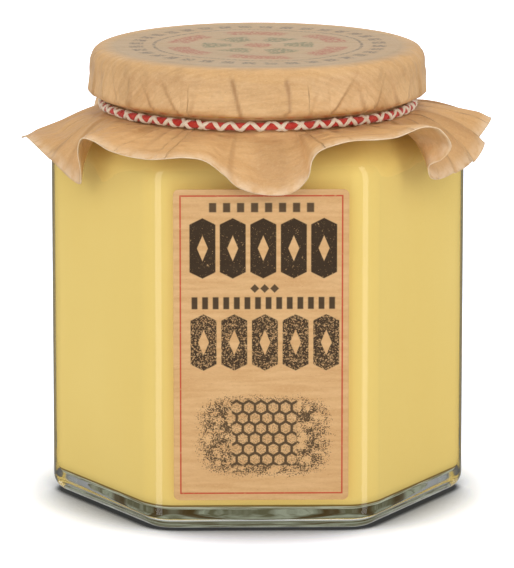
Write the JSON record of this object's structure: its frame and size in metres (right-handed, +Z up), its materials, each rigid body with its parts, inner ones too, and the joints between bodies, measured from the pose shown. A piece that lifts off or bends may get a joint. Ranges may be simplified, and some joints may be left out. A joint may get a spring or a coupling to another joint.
{
  "type": "honey jar",
  "caption": "Hexagonal glass jar filled with creamy honey, its round cap under a kraft paper cover tied with twine, with a paper label.",
  "frame": {"origin": "middle of the base, on the surface the jar stands on", "axes": "+Z up the jar's axis, -Y out of the labelled face, +X to the right of someone facing the label"},
  "size_m": [0.1022, 0.0944, 0.099],
  "materials": {
    "jar_glass": "clear, smooth",
    "honey": "opaque creamy honey, satin",
    "lid": "lacquered",
    "paper_cover": "matt ribbed kraft",
    "twine": "braided cotton",
    "label": "matt kraft"
  },
  "bodies": {
    "root": {"jar_glass": "jar_glass", "honey": "honey", "lid": "lid", "paper_cover": "paper_cover", "twine": "twine", "label": "label"}
  },
  "joints": []
}
